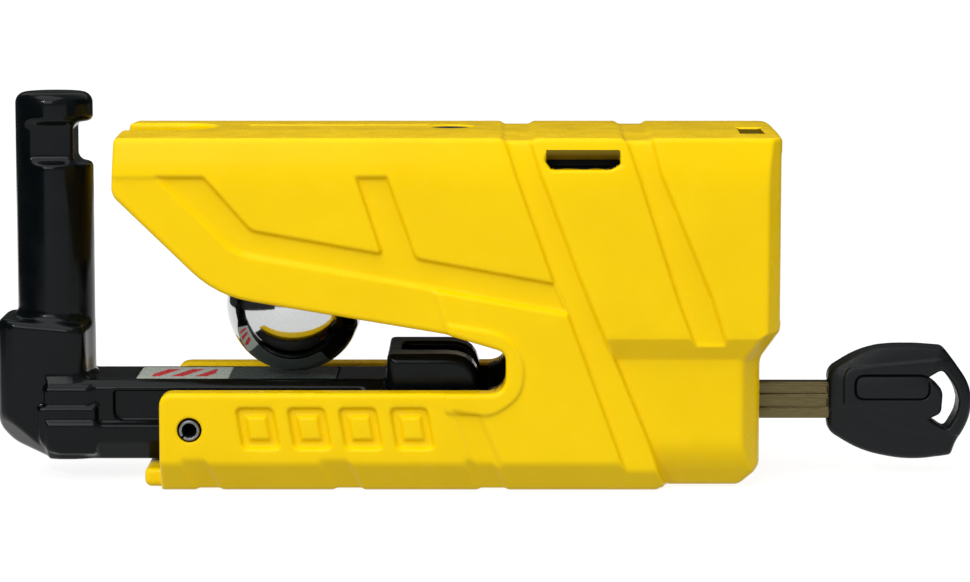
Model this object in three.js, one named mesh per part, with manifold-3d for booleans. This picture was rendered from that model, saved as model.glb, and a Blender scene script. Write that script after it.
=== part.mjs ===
// Motorcycle disc brake lock, pulled open, with its key in the cylinder.
// Millimetres, +Z up, +X towards the key, -Y is the side with the sound slot.
// The origin is at the middle of the object's footprint, on the surface it stands on.
import * as THREE from 'three';
import { mergeVertices } from 'three/addons/utils/BufferGeometryUtils.js';
import Module from 'manifold-3d';

const wasm = await Module();
wasm.setup();

// ---------------------------------------------------------------- driving dimensions

const GAP = 0.3; // clearance between pieces that touch
const ARC_STEPS = 20; // sides of a small round piece

// Lock body: a C of an upper arm, a right block and a lower U channel.
const BODY_HALF = 22; // half the depth
const BODY_TOP = 61.9;
const FACET_LOW = 54.5; // where each face starts to lean in
const BODY_RIGHT = 50.8;
const BLOCK_RIGHT = 47.5; // right face of the lower block
const BLOCK_HALF = 19; // half the depth of the lower block
const ARM_LEFT = -63.6; // end of the upper arm
const CHANNEL_LEFT = -55.8; // end of the lower arm
const CHANNEL_TOP = 17.5;
const CHANNEL_HALF = 16.7; // half the width inside
const FLOOR_TOP = 3.4;
const THROAT_RIGHT = 3.6;

// Sledge: locking pin, elbow, bar and forked tail, in one forging.
const TRAVEL = 20.8; // from open to closed
const PIN_X = -75.5; // pin axis when open
const PIN_R = 6.75;
const PIN_TOP = 67.8;
const CROWN_BEVEL = 1.5; // bevel around the pin's flat top
const NOTCH_LOW = 55.6;
const NOTCH_HIGH = 62.7;
const NECK_RIGHT = 3.75; // the neck beside the notch, from the pin's axis
const NECK_HALF = 5;
const SPINE_X = -5.4; // left of this the pin keeps its full section
const SLEDGE_LEFT = -85.8;
const SLEDGE_LOW = 3.8;
const ELBOW_RIGHT = -69;
const ELBOW_HALF = 8.5;
const BAR_TOP = 18.1;
const BAR_HALF = 8;
const RAIL_FIT = 10; // half-width of the bar's proud foot
const TAIL_LEFT = -17;
const TAIL_RIGHT = -0.9;
const TAIL_HALF = 12.5;
const TAIL_TOP = 23;
const LABEL = { left: -61, right: -26, half: 7 }; // film let into the bar's top

// Pin slot in the upper arm, where the closed pin stands.
const SLOT_X = PIN_X + TRAVEL;
const SLOT_R = PIN_R + 1;
const FORK = { low: 56, high: 59.3 }; // hardened fork across the slot

// Ball in the throat.
const BALL_X = -33.5;
const BALL_Z = 30.5;
const BALL_R = 12;

// Lock cylinder and key, on one axis along X.
const AXIS_Z = 13.4;
const HOUSING_R = 8.9;
const PLUG_R = 6.5;
const BLADE_HALF_HEIGHT = 3.25;
const BLADE_HALF = 1.5;
const BLADE_TIP = 27.2;
const DISC_COUNT = 6;

// The cylinder's fittings: its retaining pin, and the T-bolt that its plug turns.
const RETAINER_X = 30;
const BOLT_LEFT = 14.4;
const BOLT_RIGHT = 17.9;
const BOLT_HALF = 7.2;
const BOLT_SHAFT_R = 3;

// Electronics bay, opened from the right and closed by the rear cap.
const BAY = { left: 8.9, right: 46.9, half: 12.6, low: 31, high: 57.5 };
const CAP = { half: 17.6, low: 29.8, high: 58.3, outer: 50.4 };
const SCREW_Y = 14.9;
const SCREW_HEAD_R = 1.7;
const SCREW_Z = 44;
const SCREW_HOLE_R = 1.25;
const DUCT_Z = 51; // cable duct from the arm into the bay
const LED_X = -6;
const CELL = { y: 4, z: 42.2, r: 7.7 }; // battery, its axis along X
const PIEZO = { x: 18.4, z: 48.4, r: 7.4 }; // sounder, its axis along Y
const MOUTH = { left: 10.3, right: 23.1, low: 55.7, high: 57.4 }; // sound slot in the front face

// Cross pins that hold the two guide rails.
const ROLL_PIN = { x: -50.6, z: 11.15, r: 1.8 };

// ---------------------------------------------------------------- materials

function finish(color, roughness, metalness) {
  return new THREE.MeshStandardMaterial({ color, roughness, metalness });
}

const YELLOW_PAINT = finish(0xf0c80a, 0.35, 0);
const BLACK_PAINT = finish(0x0b0e10, 0.3, 0.1);
const BALL_STEEL = finish(0xdadada, 0.08, 1);
const STEEL = finish(0x8d9093, 0.35, 1);
const HARD_STEEL = finish(0x4a4c4f, 0.4, 1);
const NICKEL = finish(0x8a7f5c, 0.35, 1);
const BRASS = finish(0xb08a3c, 0.35, 1);
const BLACK_PLASTIC = finish(0x16191b, 0.55, 0);
const GREY_PLASTIC = finish(0x3c3f42, 0.6, 0);
const LENS = finish(0x2a3338, 0.15, 0);
const LED_RED = finish(0xb3261e, 0.3, 0);
const RUBBER = finish(0x1a1a1a, 0.8, 0);
const BOARD_GREEN = finish(0x1f5a38, 0.5, 0);
const CELL_WRAP = finish(0x3f4a5a, 0.4, 0.2);
const PRINTED_FILM = finish(0xb9b9b4, 0.4, 0);

// ---------------------------------------------------------------- solids

const ALONG_X = new THREE.Matrix4().makeBasis(
  new THREE.Vector3(0, 1, 0), new THREE.Vector3(0, 0, 1), new THREE.Vector3(1, 0, 0));
const ALONG_Y = new THREE.Matrix4().makeBasis(
  new THREE.Vector3(1, 0, 0), new THREE.Vector3(0, 0, 1), new THREE.Vector3(0, -1, 0));

function toSolid(geometry) {
  geometry.deleteAttribute('normal');
  geometry.deleteAttribute('uv');
  const merged = mergeVertices(geometry, 1e-4);
  return new wasm.Manifold(new wasm.Mesh({
    numProp: 3,
    vertProperties: new Float32Array(merged.attributes.position.array),
    triVerts: new Uint32Array(merged.index.array),
  }));
}

// A closed outline from corners [u, v, radius]: a corner with a radius becomes a curve.
function outline(corners) {
  const shape = new THREE.Shape();
  const count = corners.length;
  corners.forEach(([u, v, radius = 0], i) => {
    const corner = new THREE.Vector2(u, v);
    if (radius === 0) {
      if (i === 0) shape.moveTo(u, v);
      else shape.lineTo(u, v);
      return;
    }
    const before = new THREE.Vector2(...corners[(i + count - 1) % count]);
    const after = new THREE.Vector2(...corners[(i + 1) % count]);
    const start = corner.clone().add(before.sub(corner).setLength(radius));
    const end = corner.clone().add(after.sub(corner).setLength(radius));
    if (i === 0) shape.moveTo(start.x, start.y);
    else shape.lineTo(start.x, start.y);
    shape.quadraticCurveTo(u, v, end.x, end.y);
  });
  shape.closePath();
  return shape;
}

function extrude(shape, low, high, basis, steps = 5) {
  const geometry = new THREE.ExtrudeGeometry(shape, {
    depth: high - low, bevelEnabled: false, curveSegments: steps,
  });
  geometry.translate(0, 0, low);
  if (basis) geometry.applyMatrix4(basis);
  return toSolid(geometry);
}

// Prisms: a side view (X, Z) drawn between two Y values, an end view (Y, Z) between two X
// values, and a plan (X, Y) between two Z values.
const sidePrism = (corners, y0, y1, steps) =>
  extrude(outline(corners), -y1, -y0, ALONG_Y, steps);
const endPrism = (corners, x0, x1, steps) => extrude(outline(corners), x0, x1, ALONG_X, steps);
const planPrism = (corners, z0, z1, steps) => extrude(outline(corners), z0, z1, null, steps);

function circle(u, v, radius) {
  const shape = new THREE.Shape();
  shape.absarc(u, v, radius, 0, 2 * Math.PI, false);
  return shape;
}

const rodX = (y, z, r, x0, x1, sides = ARC_STEPS) =>
  extrude(circle(y, z, r), x0, x1, ALONG_X, sides);
const rodY = (x, z, r, y0, y1, sides = ARC_STEPS) =>
  extrude(circle(x, z, r), -y1, -y0, ALONG_Y, sides);
const rodZ = (x, y, r, z0, z1, sides = ARC_STEPS) => extrude(circle(x, y, r), z0, z1, null, sides);

function block(x0, x1, y0, y1, z0, z1) {
  const geometry = new THREE.BoxGeometry(x1 - x0, y1 - y0, z1 - z0);
  geometry.translate((x0 + x1) / 2, (y0 + y1) / 2, (z0 + z1) / 2);
  return toSolid(geometry);
}

function sphere(x, y, z, r, around = 30, down = 15) {
  const geometry = new THREE.SphereGeometry(r, around, down);
  geometry.rotateX(Math.PI / 2);
  geometry.translate(x, y, z);
  return toSolid(geometry);
}

const joined = (...solids) => solids.reduce((sum, next) => sum.add(next));
const cut = (solid, ...tools) => tools.reduce((rest, tool) => rest.subtract(tool), solid);

// The same tool on the front and, mirrored in the middle plane, on the back.
const bothSides = (tool) => tool.add(tool.mirror([0, 1, 0]));

const object = new THREE.Group();

function place(name, solid, material) {
  const { numProp, vertProperties, triVerts } = solid.getMesh();
  const points = new Float32Array((vertProperties.length / numProp) * 3);
  for (let i = 0; i < points.length / 3; i += 1) {
    points.set(vertProperties.subarray(i * numProp, i * numProp + 3), i * 3);
  }
  const geometry = new THREE.BufferGeometry();
  geometry.setAttribute('position', new THREE.BufferAttribute(points, 3));
  geometry.setIndex(new THREE.BufferAttribute(new Uint32Array(triVerts), 1));
  geometry.computeVertexNormals();
  const mesh = new THREE.Mesh(geometry, material);
  mesh.name = name;
  object.add(mesh);
}

// ---------------------------------------------------------------- lock body

const BLOCK_SHELF = 27.7; // where the lower block starts to step in
const UNDERSIDE = [[-45.8, 34.2, 6], [-6.6, 27.6]]; // lower edge of the upper arm

function bodyShell() {
  const side = sidePrism([
    [-63.1, BODY_TOP, 1.3],
    [ARM_LEFT, 51.5, 1.4],
    ...UNDERSIDE,
    [THROAT_RIGHT, 24.6, 1.6],
    [THROAT_RIGHT, CHANNEL_TOP, 3],
    [CHANNEL_LEFT, CHANNEL_TOP, 2.4],
    [CHANNEL_LEFT, 0],
    [29.6, 0],
    [30.4, 0.5],
    [44, 0.5],
    [BLOCK_RIGHT, 4],
    [BLOCK_RIGHT, 22.5],
    [BODY_RIGHT, 28],
    [BODY_RIGHT, BODY_TOP, 1.5],
  ], -BODY_HALF, BODY_HALF);
  // Seen from the end: a chamfered base, upright faces, a facet and a nearly flat top.
  const half = [[17.5, 0], [BODY_HALF, 6], [BODY_HALF, FACET_LOW], [20.9, 61.15], [7.5, BODY_TOP]];
  const section = endPrism([...half, ...half.map(([y, z]) => [-y, z]).reverse()], -70, 60);
  const lip = sidePrism([
    [-59, 0.4, 0.8], [-59, FLOOR_TOP, 1.4], [CHANNEL_LEFT + 1, FLOOR_TOP], [CHANNEL_LEFT + 1, 0.4],
  ], -14, 14);
  return joined(side.intersect(section), lip);
}

// The lower block stands back from the faces, behind a slanted edge and a sloping shelf.
function blockStep() {
  const end = endPrism([
    [-24, BLOCK_SHELF + 3.1], [-BODY_HALF, BLOCK_SHELF], [-BLOCK_HALF, 23], [-BLOCK_HALF, 6.4],
    [-14.4, 0.5], [-14.4, -2], [-24, -2],
  ], 10, 60);
  const side = sidePrism([[20.2, BLOCK_SHELF + 4], [60, BLOCK_SHELF + 4], [60, -2], [31.6, -2]],
    -30, 30);
  return bothSides(end.intersect(side));
}

// Upright edges of the right end are cut back, more deeply on the lower block.
function endChamfers() {
  const upper = planPrism([[47.7, -23], [47.7, -BODY_HALF], [BODY_RIGHT, -18], [60, -18], [60, -23]],
    25.5, 70);
  const lower = planPrism([[43.8, -23], [43.8, -BLOCK_HALF], [BLOCK_RIGHT, -15], [60, -15], [60, -23]],
    -5, 25.5);
  return bothSides(joined(upper, lower));
}

// Two slanted grooves run down each face and notch its top edge.
function faceGrooves() {
  const depth = 0.9;
  const strips = [
    [[4.5, FACET_LOW], [11.5, FACET_LOW], [21.5, 27.5], [27.5, 11.5], [22.8, 7.6], [14.3, 31.1]],
    [[26.5, FACET_LOW], [30.1, FACET_LOW], [38.7, 30.8], [40.9, 23], [36.4, 23], [33, 33.4]],
  ];
  const cutters = strips.map((corners) => sidePrism(corners, -23, -BODY_HALF + depth));
  return bothSides(joined(...cutters));
}

// Long openings of the throat side: channel, tail cavity, pin slot and the ball's seat.
function mechanismCuts() {
  const channel = block(-70, 0.6, -CHANNEL_HALF, CHANNEL_HALF, FLOOR_TOP, CHANNEL_TOP + 1);
  const cavity = block(-2, 20.6, -13.1, 13.1, FLOOR_TOP, 23.4);
  const slot = block(-70, SLOT_X, -SLOT_R, SLOT_R, 30, 70);
  const slotEnd = rodZ(SLOT_X, 0, SLOT_R, 30, 70, 32);
  const forkSeat = block(-61.8, -43.2, -12.3, 12.3, FORK.low - GAP, FORK.high + GAP);
  const ballSeat = sphere(BALL_X, 0, BALL_Z, BALL_R + 1.5);
  const pinHoles = bothSides(rodY(ROLL_PIN.x, ROLL_PIN.z, ROLL_PIN.r + GAP, -23, -15));
  return joined(channel, cavity, slot, slotEnd, forkSeat, ballSeat, pinHoles);
}

// Bores for the cylinder, its bolt and its retaining pin.
function cylinderCuts() {
  const seat = rodX(0, AXIS_Z, HOUSING_R + GAP, 22.6, 49, 36);
  const boltHole = rodX(0, AXIS_Z, BOLT_SHAFT_R + 0.4, 19, 24);
  const pinHole = rodZ(RETAINER_X, 0, 1.5, 20, BAY.low + 1, 16);
  return joined(seat, boltHole, pinHole);
}

// The bay, the cap's seat, ducts, the light's hole, the sound slot and the pull notch.
function alarmCuts() {
  const bay = block(BAY.left, 60, -BAY.half, BAY.half, BAY.low, BAY.high);
  const seat = block(BAY.right, 60, -CAP.half, CAP.half, CAP.low, CAP.high);
  const screws = bothSides(rodX(-SCREW_Y, SCREW_Z, SCREW_HOLE_R, 38, 48, 16));
  const duct = rodX(0, DUCT_Z, 2.5, -50, BAY.left + 1, 16);
  const lightHole = joined(rodZ(LED_X, 0, 3.9, 57.5, 64), rodZ(LED_X, 0, 2.4, DUCT_Z, 58, 16));
  const mouth = endPrism([
    [-24, MOUTH.low], [-12, MOUTH.low], [-12, MOUTH.high], [-19, MOUTH.high], [-24, MOUTH.high + 2.9],
  ], MOUTH.left, MOUTH.right);
  const notch = block(44, 48, -13.5, -2.2, 60.3, 64);
  return joined(bay, seat, screws, duct, lightHole, mouth, notch);
}

function lockBody() {
  return cut(bodyShell(), blockStep(), endChamfers(), faceGrooves(), mechanismCuts(), cylinderCuts(),
    alarmCuts());
}

place('lock_body', lockBody(), YELLOW_PAINT);

// ---------------------------------------------------------------- fittings of the body

// Hardened fork that enters the pin's notch: a plate with a U open to the left.
function forkPlate() {
  const plate = block(-61.5, -43.5, -12, 12, FORK.low, FORK.high);
  const mouth = block(-65, SLOT_X + NECK_RIGHT + GAP, -NECK_HALF - GAP, NECK_HALF + GAP, 50, 65);
  return cut(plate, mouth);
}

// Thin spherical cup that carries the ball, trimmed along the arm's underside.
function ballCup() {
  const shell = cut(sphere(BALL_X, 0, BALL_Z, BALL_R + 1.2), sphere(BALL_X, 0, BALL_Z, BALL_R + 0.35));
  const below = sidePrism([
    [-60, 44], [-48.4, 37.2], [-45.2, 34.9], [-41, 34.2], [0, 27.3], [0, 10], [-60, 10],
  ], -30, 30);
  return cut(shell, below);
}

function guideRail() {
  const rail = block(-55.1, -21.3, -16.4, -RAIL_FIT - GAP, FLOOR_TOP + GAP, 15.5);
  const hole = rodY(ROLL_PIN.x, ROLL_PIN.z, ROLL_PIN.r + GAP, -17, -12.9);
  return cut(rail, hole);
}

// Rolled spring pin: a tube with a slit along it.
function rollPin() {
  const { x, z, r } = ROLL_PIN;
  return cut(rodY(x, z, r, -21.7, -13.2), rodY(x, z, r - 0.6, -22, -13),
    block(x - 0.4, x + 0.4, -22, -13, z - 3, z));
}

place('arm_fork_plate', forkPlate(), HARD_STEEL);
place('ball_cup', ballCup(), GREY_PLASTIC);
place('guide_rail_front', guideRail(), BLACK_PLASTIC);
place('guide_rail_rear', guideRail().mirror([0, 1, 0]), BLACK_PLASTIC);
place('roll_pin_front', rollPin(), STEEL);
place('roll_pin_rear', rollPin().mirror([0, 1, 0]), STEEL);

// ---------------------------------------------------------------- rear cap

function rearCap() {
  const plate = block(47.8, CAP.outer, -CAP.half + GAP, CAP.half - GAP, CAP.low + GAP, CAP.high - GAP);
  const frame = block(46.2, 48, -BAY.half + GAP, BAY.half - GAP, BAY.low + GAP, BAY.high - GAP);
  const hollow = block(45, 47, -BAY.half + 2, BAY.half - 2, BAY.low + 2, BAY.high - 2);
  const holes = bothSides(joined(
    rodX(-SCREW_Y, SCREW_Z, SCREW_HOLE_R, 45, 52, 16),
    rodX(-SCREW_Y, SCREW_Z, SCREW_HEAD_R + 0.25, 49, 52)));
  return cut(joined(plate, frame), hollow, holes);
}

function capGasket() {
  const ring = block(47.1, 47.6, -CAP.half + GAP, CAP.half - GAP, CAP.low + GAP, CAP.high - GAP);
  const hole = block(46, 49, -BAY.half, BAY.half, BAY.low, BAY.high);
  return cut(ring, hole, bothSides(rodX(-SCREW_Y, SCREW_Z, SCREW_HOLE_R, 45, 52, 16)));
}

function capScrew() {
  const head = rodX(-SCREW_Y, SCREW_Z, SCREW_HEAD_R, 49.2, 50.2);
  const shank = rodX(-SCREW_Y, SCREW_Z, 1, 40, 49.3, 16);
  const socket = rodX(-SCREW_Y, SCREW_Z, 0.8, 49.5, 51, 6);
  return cut(joined(head, shank), socket);
}

place('rear_cap', rearCap(), YELLOW_PAINT);
place('cap_gasket', capGasket(), RUBBER);
place('cap_screw_front', capScrew(), STEEL);
place('cap_screw_rear', capScrew().mirror([0, 1, 0]), STEEL);

// ---------------------------------------------------------------- alarm

// Tray that carries the cell and the board.
function alarmFrame() {
  const floor = block(9.3, 45.8, -12.2, 12.2, 31.4, 33.4);
  const leftWall = block(9.3, 10.3, -12.2, 12.2, 31.4, 46);
  const cradle = block(30, 33, -3.6, 11.6, 33.2, 38);
  const cellSpace = rodX(CELL.y, CELL.z, CELL.r + 0.4, 29, 34, 28);
  return joined(floor, leftWall, cut(cradle, cellSpace));
}

// Coiled contact: rings that shrink towards the wall.
function batterySpring() {
  const rings = [[4.2, 16.4], [3.6, 15.2], [3, 14], [2.4, 12.8]];
  const coils = rings.map(([r, x]) => rodX(CELL.y, CELL.z, r, x, x + 0.8, 12));
  const core = rodX(CELL.y, CELL.z, 2, 12.6, 17.2, 12);
  return cut(joined(core, ...coils), rodX(CELL.y, CELL.z, 1.2, 10, 20, 8));
}

function piezoHousing() {
  const cup = rodY(PIEZO.x, PIEZO.z, PIEZO.r, -12.3, -8.6, 24);
  return cut(cup, rodY(PIEZO.x, PIEZO.z, PIEZO.r - 1, -13, -9.6, 24));
}

// Fine screen across the inner end of the sound slot.
function soundMesh() {
  return block(MOUTH.left + GAP, MOUTH.right - GAP, -15.4, -14.8, MOUTH.low + GAP, MOUTH.high - GAP);
}

// Cell with its raised end contact.
function batteryCell() {
  return joined(rodX(CELL.y, CELL.z, CELL.r, 18.4, 44.4, 24), rodX(CELL.y, CELL.z, 3, 17.6, 18.5));
}

place('alarm_frame', alarmFrame(), GREY_PLASTIC);
place('circuit_board', block(10.7, 45.5, -8.2, -6.8, 33.8, 56.8), BOARD_GREEN);
place('control_chip', block(28, 35, -10, -8.5, 37, 44), BLACK_PLASTIC);
place('motion_sensor', block(38, 42, -9.8, -8.5, 38, 42), BLACK_PLASTIC);
place('piezo_housing', piezoHousing(), BLACK_PLASTIC);
place('piezo_disc', rodY(PIEZO.x, PIEZO.z, PIEZO.r - 1.3, -10.6, -10.2, 20), BRASS);
place('battery_cell', batteryCell(), CELL_WRAP);
place('battery_spring', batterySpring(), NICKEL);
place('battery_contact', block(45, 45.6, 0, 8, 38, 46.4), NICKEL);
place('sound_mesh', soundMesh(), STEEL);
place('led_lens', joined(rodZ(LED_X, 0, 3.6, 59.6, 61.6), rodZ(LED_X, 0, 2, 58.8, 59.7, 16)), LENS);
place('led_emitter', joined(rodZ(LED_X, 0, 1.5, 56, 58.4, 16), rodZ(LED_X, 0, 2, 55.4, 56.1, 16)), LED_RED);
place('led_lead', block(LED_X - 0.5, LED_X + 0.5, -0.2, 0.2, 52.4, 55.1), BLACK_PLASTIC);
place('pin_sensor', rodX(0, DUCT_Z, 2.2, -46.6, -38, 20), GREY_PLASTIC);
place('sensor_lead', rodX(0, DUCT_Z, 0.8, -37.7, 9.7, 10), BLACK_PLASTIC);

// ---------------------------------------------------------------- lock cylinder

function cylinderHousing() {
  const tube = cut(rodX(0, AXIS_Z, HOUSING_R, 22.9, 44.9, 28), rodX(0, AXIS_Z, PLUG_R + 0.25, 22, 46, 28));
  return cut(tube, rodZ(RETAINER_X, 0, 1.5, AXIS_Z + 7.4, AXIS_Z + 12, 16));
}

function drillPlate() {
  return cut(rodX(0, AXIS_Z, HOUSING_R, 45.3, 46.6, 28), rodX(0, AXIS_Z, 3.9, 45, 47));
}

place('cylinder_housing', cylinderHousing(), BRASS);
place('cylinder_retaining_pin', rodZ(RETAINER_X, 0, 1.2, AXIS_Z + 7.7, BAY.low - 0.2, 14), STEEL);
place('drill_plate', drillPlate(), HARD_STEEL);

// Plug: a sleeve around the tumbler discs, with a socket for the bolt at its inner end.
function cylinderPlug() {
  const body = rodX(0, AXIS_Z, PLUG_R, 22.9, 44.7, 28);
  const discSpace = rodX(0, AXIS_Z, PLUG_R - 0.7, 26.7, 46, 24);
  const socket = rodX(0, AXIS_Z, BOLT_SHAFT_R + GAP, 22, 25.7);
  const sidebarSlot = block(27, 46, -1, 1, AXIS_Z + 4, AXIS_Z + 8);
  return cut(body, discSpace, socket, sidebarSlot);
}

// T-bolt: upright when unlocked, across the tail's two ears when the key is turned.
function lockBolt() {
  const shaft = rodX(0, AXIS_Z, BOLT_SHAFT_R, BOLT_LEFT, 25.4);
  const head = block(BOLT_LEFT, BOLT_RIGHT, -BOLT_SHAFT_R, BOLT_SHAFT_R,
    AXIS_Z - BOLT_HALF, AXIS_Z + BOLT_HALF);
  return joined(shaft, head);
}

function tumblerDisc(i) {
  const left = BLADE_TIP + 2.9 * i;
  const keyway = block(left - 1, left + 4, -BLADE_HALF - 0.25, BLADE_HALF + 0.25,
    AXIS_Z - BLADE_HALF_HEIGHT - 0.25, AXIS_Z + BLADE_HALF_HEIGHT + 0.25);
  return cut(rodX(0, AXIS_Z, 5.45, left, left + 2), keyway);
}

place('cylinder_plug', cylinderPlug(), BRASS);
place('lock_bolt', lockBolt(), HARD_STEEL);
place('sidebar', block(27.4, 44, -0.7, 0.7, AXIS_Z + 5.75, AXIS_Z + 6.4), STEEL);
for (let i = 0; i < DISC_COUNT; i += 1) place(`tumbler_disc_${i + 1}`, tumblerDisc(i), BRASS);

// ---------------------------------------------------------------- key

const HEAD_LEFT = 60.4;
const HEAD_RIGHT = 85.8;
const HEAD_HALF = 3.5;
const HEAD_DROP = 0.6; // the head reaches this much further below the axis than above it

function keyBlade() {
  const blade = block(BLADE_TIP, 66, -BLADE_HALF, BLADE_HALF,
    AXIS_Z - BLADE_HALF_HEIGHT, AXIS_Z + BLADE_HALF_HEIGHT);
  const mill = (z0, z1) => block(BLADE_TIP - 1, HEAD_LEFT, -2, -0.9, AXIS_Z + z0, AXIS_Z + z1);
  return cut(blade, mill(1.1, 2.5), mill(-1.3, 0.3), mill(-0.7, 0.5).mirror([0, 1, 0]));
}

// Head: a shield that widens from the blade, with a crescent for a key ring at its end.
function keyHead() {
  const upper = [
    [HEAD_LEFT, 4.6, 1], [65.9, 8.3, 2.5], [71.2, 9.7, 2.5], [77, 9.9, 2.5], [81, 9.1, 0.7], [84.2, 5, 1.7],
  ];
  const lower = upper.map(([x, z, r]) => [x, -z - HEAD_DROP, r]).reverse();
  const shift = ([x, z, r]) => [x, AXIS_Z + z, r];
  const plate = sidePrism([...upper, [HEAD_RIGHT, 1.9, 1.5], [HEAD_RIGHT, -1.9, 1.5], ...lower].map(shift),
    -HEAD_HALF, HEAD_HALF, 3);
  const crescent = sidePrism([
    [78.6, 3.9], [80.9, 4.7, 0.8], [83.1, 2, 1.6], [83.6, -1.2, 1.4], [81.9, -5, 0.9], [79.2, -4],
    [80.7, -2.4, 1], [81.1, 1, 1.6],
  ].map(shift), -5, 5, 3);
  const bladeSlot = block(HEAD_LEFT - 1, 66.3, -BLADE_HALF - GAP, BLADE_HALF + GAP,
    AXIS_Z - BLADE_HALF_HEIGHT - GAP, AXIS_Z + BLADE_HALF_HEIGHT + GAP);
  const badgeSeat = sidePrism(badgeCorners(GAP), -5, -HEAD_HALF + 0.8, 4);
  return cut(plate, crescent, bladeSlot, badgeSeat);
}

function badgeCorners(margin) {
  const [left, right, low, high] = [65.4 - margin, 78 + margin, 14 - margin, 17.8 + margin];
  return [[left, low, 1.5], [right, low, 1.5], [right, high, 1.5], [left, high, 1.5]];
}

place('key_blade', keyBlade(), NICKEL);
place('key_head', keyHead(), BLACK_PLASTIC);
place('key_badge', sidePrism(badgeCorners(0), -HEAD_HALF - 0.1, -HEAD_HALF + 0.5, 4), GREY_PLASTIC);

// ---------------------------------------------------------------- sledge

function lockingPin() {
  const shaft = rodZ(PIN_X, 0, PIN_R, 20, PIN_TOP - CROWN_BEVEL, 36);
  const crown = rodZ(PIN_X, 0, PIN_R - CROWN_BEVEL, 60, PIN_TOP, 36);
  const cone = toSolid(new THREE.CylinderGeometry(PIN_R - CROWN_BEVEL, PIN_R, CROWN_BEVEL, 36)
    .rotateX(Math.PI / 2).translate(PIN_X, 0, PIN_TOP - CROWN_BEVEL / 2));
  const notch = cut(block(-90, -60, -10, 10, NOTCH_LOW, NOTCH_HIGH),
    block(PIN_X - 8, PIN_X + NECK_RIGHT, -NECK_HALF, NECK_HALF, 50, 65),
    block(PIN_X - 8, PIN_X + SPINE_X, -10, 10, 50, 65));
  return cut(joined(shaft, crown, cone), notch);
}

function elbow() {
  const side = sidePrism([
    [SLEDGE_LEFT, 27.2, 1.6], [SLEDGE_LEFT, 9.4], [-83.1, 6.1], [-76.1, SLEDGE_LOW],
    [ELBOW_RIGHT + 1, SLEDGE_LOW], [ELBOW_RIGHT + 1, BAR_TOP + 0.9], [ELBOW_RIGHT, BAR_TOP + 1.8],
    [ELBOW_RIGHT, 29.4], [-69.4, 30.6], [-81.6, 30.6], [-82.4, 28.6, 0.6],
  ], -ELBOW_HALF, ELBOW_HALF);
  const plan = planPrism([
    [SLEDGE_LEFT, -ELBOW_HALF, 4], [ELBOW_RIGHT + 2, -ELBOW_HALF], [ELBOW_RIGHT + 2, ELBOW_HALF],
    [SLEDGE_LEFT, ELBOW_HALF, 4],
  ], 0, 40);
  return side.intersect(plan);
}

function bar() {
  const half = [
    [BAR_HALF, BAR_TOP], [9, 16.7], [9, 10.6], [RAIL_FIT, 10.2], [RAIL_FIT, 7.5], [7, SLEDGE_LOW],
  ];
  return endPrism([...half, ...half.map(([y, z]) => [-y, z]).reverse()], -74, TAIL_LEFT + 2);
}

// Tail: two ears either side of a groove, hollowed inside for the turned bolt.
function tail() {
  const side = sidePrism([
    [TAIL_LEFT, TAIL_TOP, 1], [TAIL_LEFT, SLEDGE_LOW], [TAIL_RIGHT, SLEDGE_LOW], [TAIL_RIGHT, TAIL_TOP, 5],
  ], -TAIL_HALF, TAIL_HALF);
  const flare = planPrism([
    [-20.9, -RAIL_FIT], [TAIL_LEFT + 0.5, -TAIL_HALF], [TAIL_LEFT + 0.5, TAIL_HALF], [-20.9, RAIL_FIT],
  ], SLEDGE_LOW, 16);
  const groove = block(-14.5, 2, -5.5, 5.5, 5.8, 30);
  const hook = rodX(0, AXIS_Z, 8.1, BOLT_LEFT - TRAVEL - 0.7, BOLT_RIGHT - TRAVEL + 0.7, 36);
  return cut(joined(side, flare), groove, hook);
}

function sledge() {
  const labelSeat = block(LABEL.left - 0.2, LABEL.right + 0.2, -LABEL.half - 0.2, LABEL.half + 0.2,
    BAR_TOP - 0.4, BAR_TOP + 1);
  return cut(joined(lockingPin(), elbow(), bar(), tail()), labelSeat);
}

function barLabel() {
  return block(LABEL.left, LABEL.right, -LABEL.half, LABEL.half, BAR_TOP - 0.25, BAR_TOP - 0.05);
}

place('sledge', sledge(), BLACK_PAINT);
place('bar_label', barLabel(), PRINTED_FILM);
place('steel_ball', sphere(BALL_X, 0, BALL_Z, BALL_R, 36, 18), BALL_STEEL);

export default object;
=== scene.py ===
"""Disc brake lock, pulled open, with its key in the cylinder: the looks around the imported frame.

Shapes are drawn in millimetres in the frame's own axes (+X to the key, -Y to the camera, +Z up).
The painted castings are signed distance fields: each is a few outlines and cuts with rounded
edges, meshed once, so every crease has a real fillet.
"""
import math

import bpy
import numpy as np
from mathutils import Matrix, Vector


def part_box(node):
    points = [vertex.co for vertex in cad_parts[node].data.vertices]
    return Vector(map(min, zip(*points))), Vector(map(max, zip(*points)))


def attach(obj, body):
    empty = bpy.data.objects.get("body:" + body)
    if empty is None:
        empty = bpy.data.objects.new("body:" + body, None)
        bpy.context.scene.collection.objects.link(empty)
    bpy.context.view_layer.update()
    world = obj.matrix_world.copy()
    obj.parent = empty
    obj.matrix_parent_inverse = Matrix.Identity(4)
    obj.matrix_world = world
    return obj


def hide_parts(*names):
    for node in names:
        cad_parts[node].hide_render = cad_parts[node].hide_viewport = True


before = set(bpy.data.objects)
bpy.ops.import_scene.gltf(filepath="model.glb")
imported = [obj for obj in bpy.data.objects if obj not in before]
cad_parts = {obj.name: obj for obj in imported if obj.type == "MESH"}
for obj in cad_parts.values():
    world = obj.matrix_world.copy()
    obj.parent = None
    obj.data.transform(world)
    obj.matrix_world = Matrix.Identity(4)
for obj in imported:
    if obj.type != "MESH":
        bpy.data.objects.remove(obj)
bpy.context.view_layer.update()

MM = 0.001


def corners_mm(node):
    """Lowest and highest corner of a CAD node, in millimetres."""
    low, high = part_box(node)
    return np.array(low) / MM, np.array(high) / MM


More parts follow.
